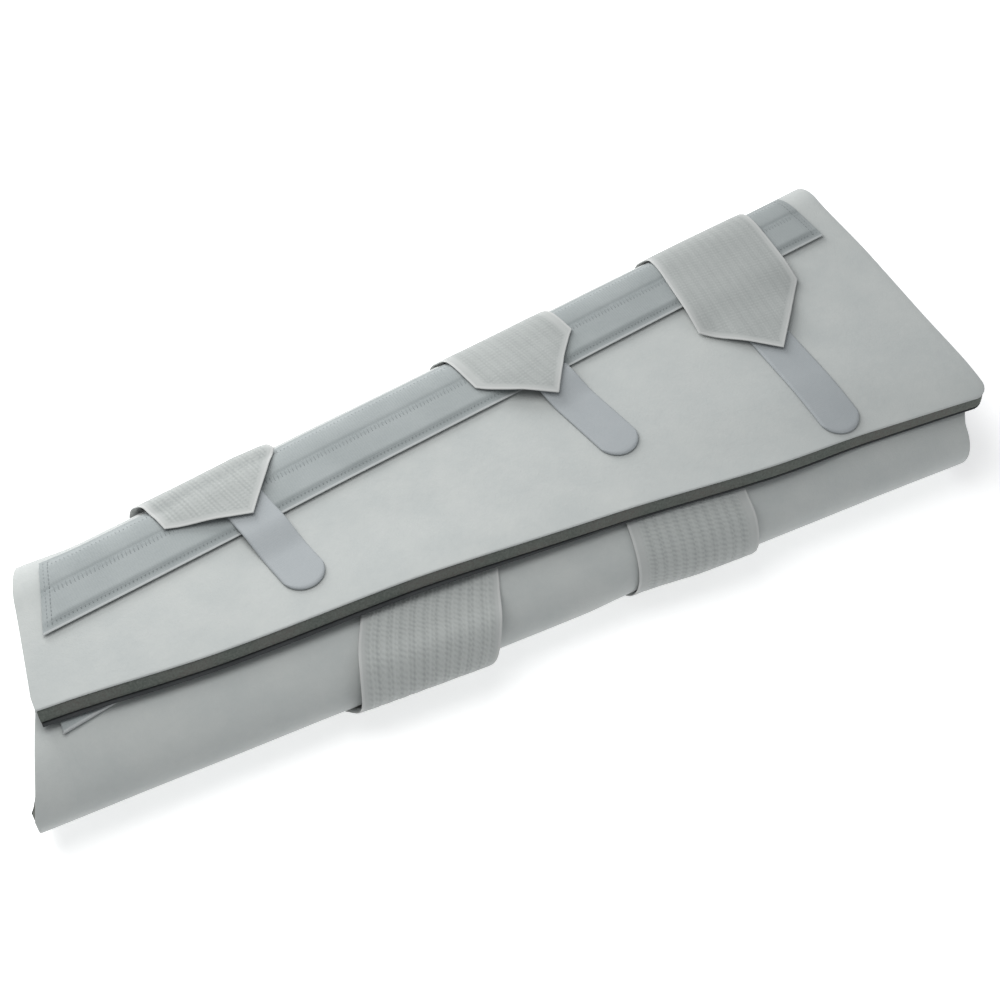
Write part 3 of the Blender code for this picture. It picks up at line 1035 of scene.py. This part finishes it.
def pocket_rise(x, s, reach):
    """Height that a strap or a tab needs at a place to clear the outer pocket,
    coming down to the flap over this reach."""
    low = outer_low(x)
    full = gap + outer_thick
    below = smooth((s - low + reach + 0.002) / reach)
    above = smooth((low + pocket_width + 0.010 - s) / 0.016)
    return full * np.where(s < low, below, above)


def crease_at(x, s):
    """One in the crease that runs just before the middle of the back fold."""
    return np.exp(-((s - walk_to(x, "back", 0.5) + crease_before) / crease_width) ** 2)


def strap_height(strap, x, s, far, v):
    """Height of a strap's underside."""
    mid_back, mid_front = walk_to(x, "back", 0.5), walk_to(x, "front", 0.5)
    low = elastic_gap + pocket_rise(x, s, strap_reach)
    soft = strap.back_soft
    low = low + strap.back_slack * bump_between(s, mid_back - 0.028, mid_back + 0.010, soft)
    low = low - strap.crease * crease_at(x, s)
    slack = mix(strap.front_left, strap.front_right, (v + 1) / 2)
    low = low + slack * bump_between(s, mid_front + 0.003, mid_front + 0.014, 0.016)
    off_tip = np.abs(v * strap_width / 2 - strap.tip_off)
    over_tab = 1 - smooth((off_tip - tab_width / 2 - 0.001) / 0.018)
    over_tab = over_tab * (1 - smooth((far - 0.022) / 0.030))
    return low + (tab_thick + 3 * gap) * over_tab


print("a strap clears the outer pocket by climbing", round(gap + outer_thick, 4), "m")

# %% [markdown]
# Each strap is cut flat with its point, and every corner is moved to its place
# along and across the route. The sides are undercut, so that a thin shadow runs
# under them, and the ribs are raised only between the selvages.

# %% The straps
strap_columns, strap_row, strap_rim = 132, 0.0034, 0.0008
rib_height, knit_height = 0.00005, 0.0001
edge_lift, edge_lift_width = 0.0009, 0.0035


def build_strap(strap):
    total, far_steps, near, across = strap_frames(route_of(strap))
    point = 2 * strap.tip_off / strap_width
    half = strap_width / 2

    def place(row, column, side, full):
        v = (column.share * strap_width + column.inset) / half - 1
        left = strap.left_cut * (point - v) / (point + 1)
        right = strap.right_cut * (v - point) / (1 - point)
        begin = np.maximum(left, right)
        far = mix(begin, total, row.share) + row.inset
        wide = v * half * (1 + strap.flare * (1 - smooth((far - 0.045) / 0.070)))
        x = np.interp(far, far_steps, near[0]) + wide * np.interp(far, far_steps, across[0])
        s = np.interp(far, far_steps, near[1]) + wide * np.interp(far, far_steps, across[1])
        from_side = half * (1 - np.abs(v))
        slope = np.where(left > right, strap.left_cut / (1 + point), strap.right_cut / (1 - point))
        from_tip = (far - begin) * np.cos(np.arctan(slope / half))
        knit = smooth((from_side - strap.selvage) / 0.0012) * smooth((from_tip - 0.003) / 0.002)
        ribs = np.cos(v * half * 2 * math.pi / elastic_rib) * rib_height * strap.ribbed * knit
        under = edge_lift * (1 - smooth(np.minimum(from_side, from_tip) / edge_lift_width))
        thick = (elastic_thick - under) * full + (ribs + knit_height * knit) * (side > 0) * full
        low = strap_height(strap, x, s, far, v) + under + (elastic_thick - under) * (1 - full) / 2
        height = low + np.where(side > 0, thick, 0.0)
        # marks the crease, which the elastic's finish darkens as painted shade
        crease = crease_at(x, s) * (strap.crease > 0)
        measures = {"from_side": from_side, "from_tip": from_tip, "crease": crease}
        return on_skin(x, s, height), far, v * half, measures

    columns = lines(strap_columns, strap_rim)
    rows = lines(round(total / strap_row), strap_rim)
    elastic = knitted_elastic("elastic_%s" % strap.name, strap.ribbed, strap.selvage)
    piece = flat_cut("strap_%s_elastic" % strap.name, rows, columns, place, elastic)
    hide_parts("strap_" + strap.name)
    cut_away = strap_width * (strap.left_cut + strap.right_cut) / 4
    total * strap_width - cut_away


for strap in straps:
    build_strap(strap)

# %% [markdown]
# The tabs are plain hook tape with its smooth back outwards, slightly lavender,
# cut with a round end. They lie on the flap and bend up over the pocket's edge,
# with their other end under the strap's point.

# %% Finish of the tabs
tab_finish = Finish("hook_tape_back", 0.72, Sheen_Weight=0.1, Specular_IOR_Level=0.3)
tab_along, tab_across = tab_finish.cut()
tab_fuzz = tab_finish.speckle(0.0009)
tab_slow = tab_finish.speckle(0.011)
tab_weave = tab_along.wave(0.0011) * 0.5 + tab_across.wave(0.0009) * 0.5
tab_share = (tab_weave * 0.15 + tab_fuzz * 0.3 + tab_slow * 0.55).ramp(0.1, 0.9)
tab_color = tab_finish.blend(tab_share, (0.299, 0.324, 0.337), (0.337, 0.359, 0.372))
hook_tape = tab_finish.wear(tab_color, tab_weave * 0.4 + tab_fuzz * 0.6, 0.00012)
print("tabs:", hook_tape.name)

# %% [markdown]
# A tab is cut square where it hides under the strap's point and round at its
# other end, and is a little thinner at its rim. Its lines across are spaced as on
# a circle, which gives the round end an even outline.

# %% The tabs
tab_rim_width, tab_rim_share = 0.0012, 0.70
tab_rows, tab_columns, tab_rim = 64, 28, 0.0005
round_skip = 0.04
Tab = namedtuple("Tab", "name top_x top_y end_x end_y")
tabs = (
    Tab("ankle", 0.1258, 0.0350, 0.1356, -0.0268),
    Tab("knee", 0.3005, 0.0320, 0.3115, -0.0312),
    Tab("thigh", 0.4178, 0.0020, 0.4185, -0.0735),
)


def build_tab(tab):
    start = np.array([tab.top_x, tab.top_y])
    away = np.array([tab.end_x, tab.end_y]) - start
    length = float(np.linalg.norm(away))
    away /= length
    side_step = np.array([away[1], -away[0]])
    radius = tab_width / 2

    def place(row, column, side, full):
        turn = math.pi * (column.share * (1 - 2 * round_skip) + round_skip)
        v = -np.cos(turn) / math.cos(math.pi * round_skip)
        v = v * radius + column.inset
        reach = length - radius + np.sqrt(np.maximum(0.0, radius ** 2 - v ** 2))
        far = reach * row.share + row.inset
        x = start[0] + away[0] * far + side_step[0] * v
        y = start[1] + away[1] * far + side_step[1] * v
        s = walk_to(x, "flap", y)
        rim = smooth(np.minimum(reach - far, radius - np.abs(v)) / tab_rim_width)
        thick = tab_thick * mix(tab_rim_share, 1.0, rim)
        height = gap + pocket_rise(x, s, tab_reach) + thick / 2 * (1 + side * full)
        return on_skin(x, s, height), far, v, {}

    rows, columns = lines(tab_rows, tab_rim), lines(tab_columns, tab_rim)
    piece = flat_cut("hook_tab_%s_tape" % tab.name, rows, columns, place, hook_tape)
    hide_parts("hook_tab_" + tab.name)


for tab in tabs:
    build_tab(tab)
